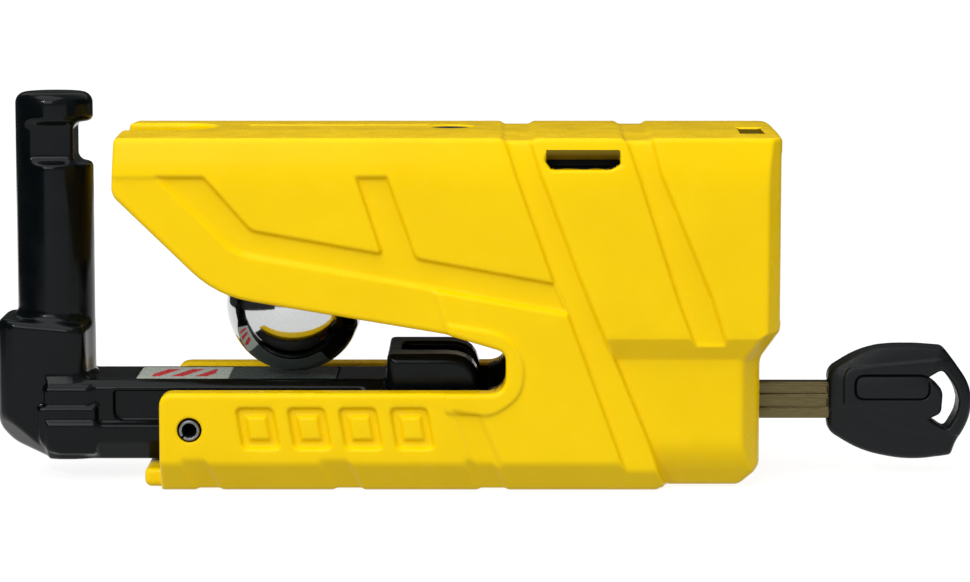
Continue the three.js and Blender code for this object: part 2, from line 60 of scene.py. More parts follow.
# ------------------------------------------------------------------ sizes, from the frame

BODY_LOW, BODY_HIGH = corners_mm("lock_body")
SLEDGE_LOW, SLEDGE_HIGH = corners_mm("sledge")
BALL_LOW, BALL_HIGH = corners_mm("steel_ball")
HEAD_LOW, HEAD_HIGH = corners_mm("key_head")
BLADE_LOW, BLADE_HIGH = corners_mm("key_blade")
LABEL_LOW, LABEL_HIGH = corners_mm("bar_label")
CAP_LOW, CAP_HIGH = corners_mm("rear_cap")
FORK_LOW, FORK_HIGH = corners_mm("arm_fork_plate")
LENS_LOW, LENS_HIGH = corners_mm("led_lens")
ROLL_LOW, ROLL_HIGH = corners_mm("roll_pin_front")
SCREW_LOW, SCREW_HIGH = corners_mm("cap_screw_front")

HALF = BODY_HIGH[1]  # half the body's depth
TOP = BODY_HIGH[2]
RIGHT = BODY_HIGH[0]
AXIS_Z = (BLADE_LOW[2] + BLADE_HIGH[2]) / 2  # cylinder and key
BALL = (BALL_LOW + BALL_HIGH) / 2
BALL_R = (BALL_HIGH[0] - BALL_LOW[0]) / 2
TRAVEL = 20.8
PIN_R = 6.75
PIN_INSET = 10.3  # from the sledge's left end to the pin's axis
PIN_X = SLEDGE_LOW[0] + PIN_INSET
SLOT_X = PIN_X + TRAVEL
SLOT_R = PIN_R + 1.0
FLOOR_TOP = 3.4
CHANNEL_TOP = 17.5
CHANNEL_HALF = 16.7
ROLL_X = (ROLL_LOW[0] + ROLL_HIGH[0]) / 2
ROLL_R = (ROLL_HIGH[0] - ROLL_LOW[0]) / 2
ROLL_Z = ROLL_HIGH[2] - ROLL_R
BAR_TOP = LABEL_HIGH[2] + 0.05
SCREW_Y = -(SCREW_LOW[1] + SCREW_HIGH[1]) / 2
SCREW_Z = (SCREW_LOW[2] + SCREW_HIGH[2]) / 2
LENS_R = 3.6
LENS_STEM_R = 2

# ------------------------------------------------------------------ signed distance fields


class Grid:
    """Sample points around a box, as three arrays that broadcast together."""

    def __init__(self, low, high, step):
        self.step = step
        self.inner_low, self.inner_high = np.array(low, float), np.array(high, float)
        self.low = np.array(low, float) - 2 * step
        counts = np.ceil((np.array(high) + 2 * step - self.low) / step).astype(int) + 1
        axes = [(self.low[k] + step * np.arange(counts[k])).astype(np.float32) for k in range(3)]
        self.x = axes[0][:, None, None]
        self.y = axes[1][None, :, None]
        self.z = axes[2][None, None, :]


def rounded(corners, steps=6):
    """Points of an outline. A corner (u, v, reach) becomes a curve that starts reach before it."""
    points = []
    for i, corner in enumerate(corners):
        here = np.array(corner[:2], float)
        if len(corner) == 2:
            points.append(tuple(here))
            continue
        before = np.array(corners[i - 1][:2]) - here
        after = np.array(corners[(i + 1) % len(corners)][:2]) - here
        start = here + before / np.linalg.norm(before) * corner[2]
        end = here + after / np.linalg.norm(after) * corner[2]
        for t in np.linspace(0, 1, steps + 1):
            points.append(tuple((1 - t) ** 2 * start + 2 * t * (1 - t) * here + t * t * end))
    return points


def outline(u, v, corners):
    """Signed distance to a closed outline, negative inside."""
    points = rounded(corners)
    best, sign = np.float32(1e9), np.float32(1)
    for (au, av), (bu, bv) in zip(points, points[1:] + points[:1]):
        eu, ev = bu - au, bv - av
        length = eu * eu + ev * ev
        if length < 1e-12:
            continue
        wu, wv = u - au, v - av
        t = np.clip((wu * eu + wv * ev) / length, 0, 1)
        best = np.minimum(best, (wu - t * eu) ** 2 + (wv - t * ev) ** 2)
        above, below, left = v >= av, v < bv, eu * wv > ev * wu
        sign = np.where((above & below & left) | ~(above | below | left), -sign, sign)
    return (sign * np.sqrt(best)).astype(np.float32)


def keep(a, b, r=0.0):
    """What is inside both, with the shared edge rounded to radius r."""
    if r == 0:
        return np.maximum(a, b)
    u, v = np.maximum(a + r, 0), np.maximum(b + r, 0)
    return np.minimum(np.maximum(a, b), -r) + np.sqrt(u * u + v * v)


def carve(a, b, r=0.0):
    """a with b cut away, the mouth rounded to radius r."""
    return keep(a, -b, r)


def weld(a, b, r=0.0):
    """a and b together, with a fillet of radius r where they meet."""
    return -keep(-a, -b, r)


def span(value, low, high):
    """Signed distance to the slab between two planes."""
    return np.maximum(low - value, value - high)


def block(g, x0, x1, y0, y1, z0, z1, r=0.0):
    return keep(keep(span(g.x, x0, x1), span(g.y, y0, y1), r), span(g.z, z0, z1), r)


def rod(u, v, cu, cv, radius):
    return np.sqrt((u - cu) ** 2 + (v - cv) ** 2) - radius


def ramp(distance, width):
    """1 well inside an outline, 0 outside, with a smooth slope of that width at its edge."""
    t = np.clip(0.5 - distance / width, 0, 1)
    return t * t * (3 - 2 * t)


def soft_min(a, b, r):
    """The smaller of two heights, with the crease between them eased over r."""
    h = np.clip(0.5 + 0.5 * (b - a) / r, 0, 1)
    return b + (a - b) * h - r * h * (1 - h)


def sample(values, grid, points):
    """Field values at points, by trilinear interpolation."""
    place = (points - grid.low) / grid.step
    base = np.clip(np.floor(place).astype(int), 0, np.array(values.shape) - 2)
    t = place - base
    total = np.zeros(len(points))
    for i in (0, 1):
        for j in (0, 1):
            for k in (0, 1):
                weight = (
                    (t[:, 0] if i else 1 - t[:, 0])
                    * (t[:, 1] if j else 1 - t[:, 1])
                    * (t[:, 2] if k else 1 - t[:, 2])
                )
                total += weight * values[base[:, 0] + i, base[:, 1] + j, base[:, 2] + k]
    return total


def gradient(values, grid, points, reach=0.6):
    h = reach * grid.step
    slopes = [
        sample(values, grid, points + h * axis) - sample(values, grid, points - h * axis)
        for axis in np.eye(3)
    ]
    return np.stack(slopes, axis=1) / (2 * h)


def surface_net(values, grid):
    """Vertices and quads of the zero level: one vertex in each cell that it crosses."""
    inside = values < 0
    shape = np.array(values.shape) - 1
    corners = [np.array((i, j, k)) for i in (0, 1) for j in (0, 1) for k in (0, 1)]
    count = np.zeros(shape, np.uint8)
    for i, j, k in corners:
        count += inside[i:i + shape[0], j:j + shape[1], k:k + shape[2]]
    cells = np.argwhere((count > 0) & (count < 8))
    index = np.full(shape, -1, np.int32)
    index[tuple(cells.T)] = np.arange(len(cells))
    level = [values[tuple((cells + c).T)] for c in corners]
    total, hits = np.zeros((len(cells), 3)), np.zeros(len(cells))
    for a in range(8):
        for b in range(a + 1, 8):
            if np.abs(corners[a] - corners[b]).sum() != 1:
                continue
            crosses = (level[a] < 0) != (level[b] < 0)
            gap = np.where(crosses, level[a] - level[b], 1)
            t = np.where(crosses, level[a] / gap, 0)
            point = corners[a] + t[:, None] * (corners[b] - corners[a])
            total += np.where(crosses[:, None], point, 0)
            hits += crosses
    vertices = grid.low + grid.step * (cells + total / hits[:, None])
    quads = []
    for axis in range(3):
        u, v = np.eye(3, dtype=int)[(axis + 1) % 3], np.eye(3, dtype=int)[(axis + 2) % 3]
        near = np.moveaxis(inside, axis, 0)[:-1]
        far = np.moveaxis(inside, axis, 0)[1:]
        edges = np.argwhere(np.moveaxis(near != far, 0, axis))
        roomy = np.all((edges > 0) & (edges < shape), axis=1)
        edges = edges[roomy]
        ring = [edges, edges - u, edges - u - v, edges - v]
        quad = np.stack([index[tuple(c.T)] for c in ring], axis=1)
        leaving = inside[tuple(edges.T)]
        quads.append(np.where(leaving[:, None], quad, quad[:, ::-1]))
    return vertices, np.concatenate(quads)


def object_from(name, vertices, faces, material):
    """A smooth-shaded object from vertices in millimetres."""
    mesh = bpy.data.meshes.new(name)
    mesh.from_pydata((np.asarray(vertices) * MM).tolist(), [], [tuple(face) for face in faces])
    mesh.validate()
    mesh.polygons.foreach_set("use_smooth", [True] * len(mesh.polygons))
    mesh.materials.append(material)
    piece = bpy.data.objects.new(name, mesh)
    bpy.context.collection.objects.link(piece)
    return piece


LEAST_SLOPE = 0.2  # of the field, squared; keeps the step onto the surface short


def cast_piece(name, values, grid, material, most_faces):
    """Meshes a field, thins it to a number of triangles, and shades it by the field's slope."""
    vertices, quads = surface_net(values, grid)
    slope = gradient(values, grid, vertices)
    size = np.maximum((slope ** 2).sum(1), LEAST_SLOPE)
    vertices -= slope * (sample(values, grid, vertices) / size)[:, None]
    vertices = np.clip(vertices, grid.inner_low, grid.inner_high)
    piece = object_from(name, vertices, quads, material)
    if 2 * len(quads) > most_faces:
        thin = piece.modifiers.new("thin", "DECIMATE")
        thin.ratio = most_faces / (2 * len(quads))
        view = bpy.context.evaluated_depsgraph_get()
        mesh = bpy.data.meshes.new_from_object(piece.evaluated_get(view), depsgraph=view)
        piece.modifiers.clear()
        piece.data = mesh
        mesh.name = name
    mesh = piece.data
    points = np.zeros(len(mesh.vertices) * 3)
    mesh.vertices.foreach_get("co", points)
    normals = gradient(values, grid, points.reshape(-1, 3) / MM, 0.9)
    normals /= np.maximum(np.linalg.norm(normals, axis=1), 1e-9)[:, None]
    mesh.normals_split_custom_set_from_vertices(normals.tolist())
    return piece


# ------------------------------------------------------------------ lock body

BODY_STEP = 0.3
FACE = HALF - 0.5  # flat of the side faces; the throat's bead stands proud of it
CREASE = 54.5  # the upper facet starts here
TOP_EDGE = 61.1
TOP_FLAT = 7.5  # half-width of the level strip on top

# Relief on the side faces, as outlines in the side view.
VALLEY = [(-55.7, CREASE), (-42.5, 41.5, 2), (14.2, 31.2), (11.8, 36.5), (5.6, CREASE)]
PANEL_LEFT = [(-48.7, CREASE + 1), (-39.8, 45.4, 1), (-17.5, 41.4, 1), (-22.2, CREASE + 1)]
PANEL_RIGHT = [(-17, CREASE + 1), (-11.7, 40.6, 1), (12.4, 36.2, 1), (5.6, CREASE + 1)]
GROOVE_LEFT = [
    (3, 64), (3.3, 61.1), (5.6, 54), (11.8, 36.5), (14.2, 31.1), (22.8, 7.5), (26.2, -2),
    (32.5, -2), (29.3, 5.8), (20.2, 27.5), (16.3, 36.9), (9.6, 54.8), (7.7, 60.6), (8.3, 64),
]
GROOVE_RIGHT = [
    (23.6, 64), (24.1, 60.8), (26.5, 53.8), (33, 33.5), (36, 25.5), (41.4, 25.5), (38.7, 34),
    (30.1, 54.8), (28.3, 61.1), (28.3, 64),
]
RIM = [(-66, CREASE), (-55.7, CREASE), (-42.5, 41.5), (-8.8, 35.2), (-6.1, 26), (-66, 26)]
BEAD = [
    (-6.1, 29.4), (3.5, 27.8, 2.5), (6.9, 23.5, 3), (6.4, 17, 3), (1.4, 13.6, 2), (-6.8, 14, 1.2),
    (-6.8, 18.6), (-6.1, 26),
]
DRAIN = [(-5.4, 14.5), (0.7, -1), (5.4, -1), (-1, 13.8)]
BLOCK = [(20.2, 27.8), (60, 27.8), (60, -3), (32.7, -3), (29.3, 5.8)]
PAD_COUNT = 4
PAD_LEFT = -42.6
PAD_PITCH = 8.8
DIPS = [(-47.5, 4.2), (-23.4, 4.9), (1.4, 4.8)]  # crossing grooves under the base: middle, width
DIP_SLANT = 0.42  # how far they lean to the left as they climb the base's chamfer
GROOVE_DEPTH = 1.1
GROOVE_DEPTH_ON_FACET = 0.8
RIM_DEPTH = 0.4
DRAIN_DEPTH = 0.5
PAD_DEPTH = 0.95
BEAD_RISE = 0.5
DIP_DEPTH = 0.55
FACET_TOP_HALF = 20.9  # half the body's depth at the facet's upper edge
TOP_FALL = 0.058  # slope of the top beside its level strip
TOP_NOTCHES = [(5.7, 2.6), (26, 2.4)]  # where the grooves cross the top: middle, half-width

# Boxes in the body: left, right, front, back, low, high.
BASE_LIP = (-59, -54, -14.5, 14.5, 0.1, FLOOR_TOP + 0.3)
CHANNEL = (-80, 0.6, -CHANNEL_HALF, CHANNEL_HALF, FLOOR_TOP, CHANNEL_TOP + 2)
TAIL_ROOM = (-4, 20.6, -13.1, 13.1, FLOOR_TOP, 23.4)
FORK_SEAT = (-61.8, -43.2, -12.3, 12.3, FORK_LOW[2] - 0.3, FORK_HIGH[2] + 0.3)
ALARM_BAY = (8.9, 60, -12.6, 12.6, 31, 57.5)
CAP_SEAT = (46.9, 60, -17.6, 17.6, 29.8, 58.3)
PULL_NOTCH = (44, 48, -13.5, -2.2, 60.3, 66)
TOP_PANEL = (-41.5, -10, -3.8, 3.8, 60, 66)
TOP_PANEL_DEPTH = 0.35

# Round cuts in the body.
SLOT_LOW = 30  # the pin's slot runs up from here
BALL_ROOM = 1.5  # gap around the ball
CROSS_PIN_ROOM = 0.3  # gap around a cross pin
CROSS_PIN_REACH = 15  # the cross pins' holes run out from here
CYLINDER_R, CYLINDER_LEFT = 9.2, 22.6
BOLT_R, BOLT_SPAN = 3.4, (19, 24)
RETAINER_X, RETAINER_R, RETAINER_SPAN = 30, 1.5, (20, 32)
SCREW_HOLE_Y, SCREW_HOLE_Z, SCREW_HOLE_R, SCREW_HOLE_SPAN = 14.9, 44, 1.25, (38, 60)
LEAD_Z, LEAD_R, LEAD_SPAN = 51, 2.5, (-50, 9.9)
LENS_SEAT_R, LENS_SEAT_LOW = 3.9, 57.5
LED_R, LED_SPAN = 2.4, (51, 58)

# Sound slot in the front face: its outline across the body, and its outline along the face.
MOUTH = [(-24, 55.7), (-12, 55.7), (-12, 57.4), (-19, 57.4), (-24, 60.3)]
MOUTH_FACE = [
    (10.3, 60.6, 0.8), (22.6, 60.6, 0.8), (23.1, 56.8), (21.3, 55.7), (11.4, 55.7), (10.3, 57.2),
]


def pads(x, z):
    """Plain slanted recesses in a row on the lower arm."""
    depth = np.float32(0)
    for i in range(PAD_COUNT):
        left = PAD_LEFT + PAD_PITCH * i
        corners = [(left, 14.9, 1), (left + 6.3, 14.9, 1), (left + 7.5, 8, 1), (left + 1.2, 8, 1)]
        rim = outline(x, z, corners)
        depth = np.maximum(depth, ramp(rim, 0.8) - 0.75 * ramp(rim + 1.4, 0.8))
    return depth


def side_height(x, z):
    """Half the body's depth over its side view."""
    network = ramp(outline(x, z, VALLEY), 1.2)
    for panel in (PANEL_LEFT, PANEL_RIGHT):
        network = np.minimum(network, 1 - ramp(outline(x, z, panel), 0.9))
    grooves = np.maximum(ramp(outline(x, z, GROOVE_LEFT), 1), ramp(outline(x, z, GROOVE_RIGHT), 1))
    height = FACE - GROOVE_DEPTH * np.maximum(network, grooves)
    height = height - RIM_DEPTH * ramp(outline(x, z, RIM), 1) * (1 - network)
    height = height - DRAIN_DEPTH * ramp(outline(x, z, DRAIN), 1.1)
    height = height - PAD_DEPTH * pads(x, z)
    height = height + BEAD_RISE * ramp(outline(x, z, BEAD), 0.7)
    slant = (HALF - FACET_TOP_HALF) / (TOP_EDGE - CREASE)
    groove_drop = GROOVE_DEPTH_ON_FACET * grooves
    height = soft_min(height, HALF - 0.45 - slant * (z - CREASE) - groove_drop, 0.5)
    base = 17.5 + 0.75 * z - DIP_DEPTH * dips(x + DIP_SLANT * z)
    height = soft_min(height, base, 0.5)
    height = soft_min(height, HALF - (x - 47.9) * 1.29, 0.4)
    shelf = 19 + (z - 23) * 0.64
    lower = np.maximum(19, shelf)
    lower = soft_min(lower, 14.4 + (z - 0.5) * 0.78, 2.4)
    corner = 44.2 + 0.67 * np.maximum(z - 22.5, 0)
    lower = soft_min(lower, 19 - (x - corner) * 1.21 + 0.64 * np.maximum(z - 23, 0), 0.6)
    inset = ramp(outline(x, z, BLOCK), 1.2)
    return height + (np.minimum(height, lower) - height) * inset


def dips(x):
    total = np.float32(0)
    for middle, width in DIPS:
        total = np.maximum(total, ramp(np.abs(x - middle) - width / 2, 0.8))
    return total


SIDE_VIEW = [
    (-63.1, TOP, 1.3), (-63.6, 51.5, 1.4), (-45.8, 34.2, 6), (-6.6, 27.6), (3.6, 24.6, 1.6),
    (3.6, CHANNEL_TOP, 3), (-55.8, CHANNEL_TOP, 2.4), (-55.8, 0), (29.6, 0), (30.4, 0.5),
    (44, 0.5, 0.8), (47.5, 4, 0.8), (47.5, 22.5, 1), (RIGHT, 28, 1), (RIGHT, TOP, 1.6),
]


def body_field(g):
    height = side_height(g.x, g.z).astype(np.float32)
    steep = np.gradient(height[:, 0, :], g.step)
    lean = np.sqrt(1 + steep[0] ** 2 + steep[1] ** 2)[:, None, :].astype(np.float32)
    faces = (np.abs(g.y) - height) / lean
    side = outline(g.x, g.z, SIDE_VIEW)
    body = keep(side, faces, 0.8)
    notched = sum(0.5 * ramp(np.abs(g.x - middle) - half, 1) for middle, half in TOP_NOTCHES)
    roof = TOP - TOP_FALL * np.maximum(np.abs(g.y) - TOP_FLAT, 0) - notched
    body = keep(body, g.z - roof, 0.7)
    body = carve(body, g.z - 0.4 * dips(g.x), 0.2)
    lip = keep(block(g, *BASE_LIP, 1.2), -g.z)
    body = weld(body, lip, 0.5)
    # mechanism: channel, tail cavity, pin slot, fork seat, ball seat, cross pins
    body = carve(body, block(g, *CHANNEL), 0.6)
    body = carve(body, block(g, *TAIL_ROOM, 0.4), 0.5)
    slot = np.sqrt(np.maximum(g.x - SLOT_X, 0) ** 2 + g.y ** 2) - SLOT_R
    body = carve(body, np.maximum(slot, SLOT_LOW - g.z), 0.9)
    body = carve(body, block(g, *FORK_SEAT))
    seat = np.sqrt((g.x - BALL[0]) ** 2 + g.y ** 2 + (g.z - BALL[2]) ** 2) - BALL_R - BALL_ROOM
    body = carve(body, seat, 0.4)
    cross = rod(g.x, g.z, ROLL_X, ROLL_Z, ROLL_R + CROSS_PIN_ROOM)
    body = carve(body, np.maximum(cross, CROSS_PIN_REACH - np.abs(g.y)), 0.15)
    # cylinder, its bolt and its retaining pin
    cylinder = rod(g.y, g.z, 0, AXIS_Z, CYLINDER_R)
    body = carve(body, np.maximum(cylinder, CYLINDER_LEFT - g.x), 0.3)
    body = carve(body, np.maximum(rod(g.y, g.z, 0, AXIS_Z, BOLT_R), span(g.x, *BOLT_SPAN)))
    body = carve(body, np.maximum(rod(g.x, g.y, RETAINER_X, 0, RETAINER_R), span(g.z, *RETAINER_SPAN)))
    # alarm bay, cap seat, screw holes, lead duct, light, sound slot, pull notch, panel on top
    body = carve(body, block(g, *ALARM_BAY))
    body = carve(body, block(g, *CAP_SEAT, 0.3), 0.3)
    screws = rod(np.abs(g.y), g.z, SCREW_HOLE_Y, SCREW_HOLE_Z, SCREW_HOLE_R)
    body = carve(body, np.maximum(screws, span(g.x, *SCREW_HOLE_SPAN)))
    body = carve(body, np.maximum(rod(g.y, g.z, 0, LEAD_Z, LEAD_R), span(g.x, *LEAD_SPAN)))
    light = (LENS_LOW[0] + LENS_HIGH[0]) / 2
    body = carve(body, np.maximum(rod(g.x, g.y, light, 0, LENS_SEAT_R), LENS_SEAT_LOW - g.z), 0.3)
    body = carve(body, np.maximum(rod(g.x, g.y, light, 0, LED_R), span(g.z, *LED_SPAN)))
    mouth = keep(outline(g.y, g.z, MOUTH), outline(g.x, g.z, MOUTH_FACE), 0.5)
    body = carve(body, mouth, 0.5)
    body = carve(body, block(g, *PULL_NOTCH, 0.3), 0.4)
    panel = keep(block(g, *TOP_PANEL), -g.z + TOP - TOP_PANEL_DEPTH)
    return carve(body, panel, 0.15)


# ------------------------------------------------------------------ sledge

SLEDGE_STEP = 0.28
NOTCH_LOW = 55.6
NOTCH_HIGH = 62.7
COLUMN_PLAN = [(-85.8, -8.5, 5), (-69.3, -8.5, 3.6), (-69.3, 8.5, 3.6), (-85.8, 8.5, 5)]
COLUMN_SIDE = [
    (-85.8, 28.7, 2.4), (-85.8, 9.4, 1.6), (-83.1, 6.1, 1.6), (-76.1, 3.8, 1.2), (-68, 3.8),
    (-68, 17), (-69.2, 19.5, 1.2), (-69.2, 27.2, 1.4),
]
BAR_HALF_END = [
    (-20, BAR_TOP), (8, BAR_TOP, 0.5), (9, 16.7, 0.4), (9, 10.6, 0.3), (10, 10.2, 0.3), (10, 7.5, 0.6),
    (7, 3.8, 0.5), (-20, 3.8),
]
BAR_PANEL = [(-64.7, 16.2, 0.5), (-64.7, 10.9, 1.8), (-21.6, 10.9, 0.8), (-21.6, 16.2, 0.5)]
TAIL_SIDE = [(-17, 23, 1), (-17, 3.8), (-0.9, 3.8), (-0.9, 23, 5.6)]
TAIL_PLAN = [(-20.9, -20), (-20.9, 9.7, 0.8), (-17.2, 12.5, 1.2), (-16, 12.5), (-16, -20)]


def pin_field(g):
    """Round locking pin, cut back to a square neck and a spine beside its notch."""
    ends = np.maximum(g.z - SLEDGE_HIGH[2], 15 - g.z)
    shaft = keep(rod(g.x, g.y, PIN_X, 0, PIN_R), ends, 1.9)
    neck = keep(g.x - (PIN_X + 3.75), np.abs(g.y) - 5, 0.7)
    spine = g.x - (PIN_X - 5.4)
    notch = keep(span(g.z, NOTCH_LOW, NOTCH_HIGH), -np.minimum(neck, spine), 1.3)
    return carve(shaft, notch, 0.9)


def elbow_field(g):
    """Upright column with a stepped boss low on each side."""
    column = keep(outline(g.x, g.z, COLUMN_SIDE), outline(g.x, g.y, COLUMN_PLAN), 1.3)
    upper_boss = block(g, -76.9, -68.9, -9.3, 9.3, 12, 16.7, 0.7)
    lower_boss = block(g, -77.9, -67.8, -9.8, 9.8, 5, 13.3, 0.5)
    bosses = weld(upper_boss, np.maximum(lower_boss, outline(g.x, g.z, COLUMN_SIDE)), 0.3)
    corner = -0.555 * g.x + 0.53 * np.abs(g.y) - 0.642 * g.z - 43.4  # slanted facet low on the left
    return keep(weld(column, bosses, 0.5), corner, 0.7)


def tail_field(g):
    """Two ears either side of a groove, hollowed inside for the turned bolt."""
    ears = keep(outline(g.x, g.z, TAIL_SIDE), np.abs(g.y) - 12.5, 1.7)
    flare = keep(outline(g.x, np.abs(g.y), TAIL_PLAN), span(g.z, 3.8, 16), 0.8)
    tail = weld(ears, flare, 0.6)
    groove = keep(keep(-14.5 - g.x, np.abs(g.y) - 5.5, 1.6), 5.8 - g.z, 0.6)
    tail = carve(tail, groove, 0.7)
    hook = np.maximum(rod(g.y, g.z, 0, AXIS_Z, 8.1), span(g.x, -7.1, -2.2))
    return carve(tail, hook, 0.3)


def sledge_field(g):
    profile = outline(np.abs(g.y), g.z, BAR_HALF_END)
    bar = np.maximum(profile, span(g.x, -76, -15))
    panel = keep(outline(g.x, g.z, BAR_PANEL), 8.45 - np.abs(g.y), 0.3)
    bar = carve(bar, panel, 0.25)
    sledge = weld(pin_field(g), elbow_field(g), 1.7)
    sledge = weld(sledge, bar, 1.2)
    sledge = weld(sledge, tail_field(g), 1.2)
    seat = block(g, LABEL_LOW[0] - 0.2, LABEL_HIGH[0] + 0.2, -7.2, 7.2, LABEL_LOW[2] - 0.1, 30, 0.1)
    sledge = carve(sledge, seat, 0.05)
    return np.maximum(sledge, SLEDGE_LOW[2] - g.z)


# ------------------------------------------------------------------ key

KEY_STEP = 0.17
HEAD_EDGE = [
    (60.4, 18.9, 1.6), (66.4, 22.6, 3.5), (73, 23.5, 4), (80.7, 22.9, 0.7), (82.2, 21, 0.8),
    (85.8, 15.9, 3), (85.8, 10.6, 3), (83, 5.8, 0.9), (82.3, 3.7, 0.6), (75.1, 2.6, 4),
    (66.4, 4.3, 3.5), (60.4, 8, 1.6),
]
CRESCENT = [
    (78, 17.5), (80.5, 19, 1), (83.3, 15.4, 2.2), (83.6, 12, 2), (81.4, 8.2, 1), (78.4, 10.3),
    (80.4, 11.2, 0.9), (80.7, 15.6, 1.5),
]
TONGUE = [
    (63.2, 18.3, 1), (64.2, 19.4, 0.6), (80.4, 20.9), (90, 19), (90, 6), (82.4, 7.4), (74.6, 10.9, 3),
    (68.2, 12.3, 2), (63.2, 12.5, 1),
]
SHOULDER = [(58, 12), (66, 11.5), (72, 8.6), (80, 6.8), (80, 0), (58, 0)]
PILL = [(65.1, 13.7, 1.8), (78.3, 13.7, 1.8), (78.3, 18.1, 1.8), (65.1, 18.1, 1.8)]
BLADE_MILLS = [(1.1, 2.5, -1), (-1.3, 0.3, -1), (-0.7, 0.5, 1)]  # low and high from the axis, side
MILL_DEPTH = 0.6


def key_head_field(g):
    half = HEAD_HIGH[1]
    edge = outline(g.x, g.z, HEAD_EDGE)
    crown = 0.9 * np.clip((edge + 4) / 4, 0, 1) ** 2  # thins towards the rim
    tongue = ramp(outline(g.x, g.z, TONGUE), 0.5)
    dip = 0.35 * (1 - tongue) + 0.25 * ramp(outline(g.x, g.z, SHOULDER), 0.7)
    pill = 0.5 * ramp(outline(g.x, g.z, PILL), 0.3)
    height = half - crown - dip - pill * (g.y < 0)
    head = keep(edge, np.abs(g.y) - height, 0.8)
    head = carve(head, outline(g.x, g.z, CRESCENT), 0.9)
    slit = block(g, 59, BLADE_HIGH[0] + 0.3, -1.8, 1.8, BLADE_LOW[2] - 0.3, BLADE_HIGH[2] + 0.3)
    return carve(head, slit, 0.1)


def key_blade_field(g):
    """Blade with two milled grooves on the front and one on the back, and a bevelled tip."""
    half = BLADE_HIGH[1]
    x0, x1 = BLADE_LOW[0], BLADE_HIGH[0]
    tip = [
        (x0, AXIS_Z - 2.2, 0.4), (x0 + 1.1, BLADE_LOW[2], 0.4), (x1, BLADE_LOW[2]), (x1, BLADE_HIGH[2]),
        (x0 + 1.1, BLADE_HIGH[2], 0.4), (x0, AXIS_Z + 2.2, 0.4),
    ]
    blade = keep(outline(g.x, g.z, tip), np.abs(g.y) - half, 0.25)
    for low, high, side in BLADE_MILLS:
        mill = np.maximum(span(g.z - AXIS_Z, low, high), half - MILL_DEPTH - side * g.y)
        blade = carve(blade, np.maximum(mill, g.x - HEAD_LOW[0]), 0.12)
    return blade


# ------------------------------------------------------------------ smaller castings and turnings


def rear_cap_field(g):
    half, low, high, right = CAP_HIGH[1], CAP_LOW[2], CAP_HIGH[2], CAP_HIGH[0]
    plate = block(g, 47.8, right, -half, half, low, high, 0.7)
    spigot = block(g, CAP_LOW[0], 48.4, -12.3, 12.3, 31.3, 57.2, 0.3)
    cap = weld(plate, spigot, 0.2)
    cap = carve(cap, block(g, 40, 47, -10.6, 10.6, 33, 55.5, 0.6), 0.2)
    panel = block(g, right - 0.45, 60, -11.4, 11.4, low + 3.4, high - 3.4, 1.2)
    cap = carve(cap, panel, 0.3)
    cap = carve(cap, np.maximum(rod(np.abs(g.y), g.z, SCREW_Y, SCREW_Z, 1.95), 49 - g.x), 0.25)
    return carve(cap, rod(np.abs(g.y), g.z, SCREW_Y, SCREW_Z, 1.25))


def screw_field(g):
    """Button-headed screw with a hexagonal socket and a threaded shank."""
    out = np.abs(g.y) - SCREW_Y
    radius = np.sqrt(out ** 2 + (g.z - SCREW_Z) ** 2)
    head = keep(radius - 1.7, span(g.x, 49.2, SCREW_HIGH[0]), 0.35)
    turn = np.arctan2(g.z - SCREW_Z, out) / (2 * math.pi)
    thread = 0.14 * np.abs(2 * ((g.x / 0.5 - turn) % 1) - 1)
    shank = keep(radius - 0.85 - thread, span(g.x, SCREW_LOW[0], 49.4), 0.2)
    hexagon = np.maximum(np.abs(out), np.abs(out) / 2 + np.abs(g.z - SCREW_Z) * 0.866) - 0.75
    return carve(np.minimum(head, shank), np.maximum(hexagon, 49.5 - g.x), 0.08)


def roll_pin_field(g):
    """Rolled spring pin: a slit tube with chamfered ends."""
    radius = np.sqrt((g.x - ROLL_X) ** 2 + (g.z - ROLL_Z) ** 2)
    reach = np.maximum(ROLL_LOW[1] - g.y, g.y - ROLL_HIGH[1])
    tube = np.maximum(radius - ROLL_R, reach)
    tube = keep(tube, (radius - ROLL_R + 0.12 + 0.6 * reach) / 1.17, 0.1)
    tube = carve(tube, radius - 1.25, 0.08)
    along = (g.x - ROLL_X) + (g.z - ROLL_Z)
    slit = np.maximum(np.abs(g.x - ROLL_X - (g.z - ROLL_Z)) / 1.414 - 0.16, along)
    return carve(tube, slit, 0.05)


def rail_field(g):
    low, high = corners_mm("guide_rail_front")
    rail = block(g, low[0], high[0], low[1], high[1], low[2], high[2], 0.5)
    groove = block(g, low[0] - 1, high[0] + 1, high[1] - 0.8, 40, 7.2, 10.8, 0.3)  # clears the bar's foot
    rail = carve(rail, groove, 0.3)
    return carve(rail, rod(g.x, g.z, ROLL_X, ROLL_Z, ROLL_R + 0.3), 0.2)


def fork_field(g):
    plate = block(g, FORK_LOW[0], FORK_HIGH[0], FORK_LOW[1], FORK_HIGH[1], FORK_LOW[2], FORK_HIGH[2], 0.4)
    mouth = keep(g.x - (SLOT_X + 4.05), np.abs(g.y) - 5.3, 0.8)
    return carve(plate, mouth, 0.3)


def lens_field(g):
    middle = (LENS_LOW + LENS_HIGH) / 2
    radius = rod(g.x, g.y, middle[0], middle[1], 0)
    dome = g.z - (LENS_HIGH[2] - 0.012 * radius ** 2)
    flange = keep(keep(radius - LENS_R, dome, 0.3), 59.6 - g.z, 0.15)
    stem = keep(radius - LENS_STEM_R, span(g.z, LENS_LOW[2], 59.8), 0.15)
    return weld(flange, stem, 0.2)


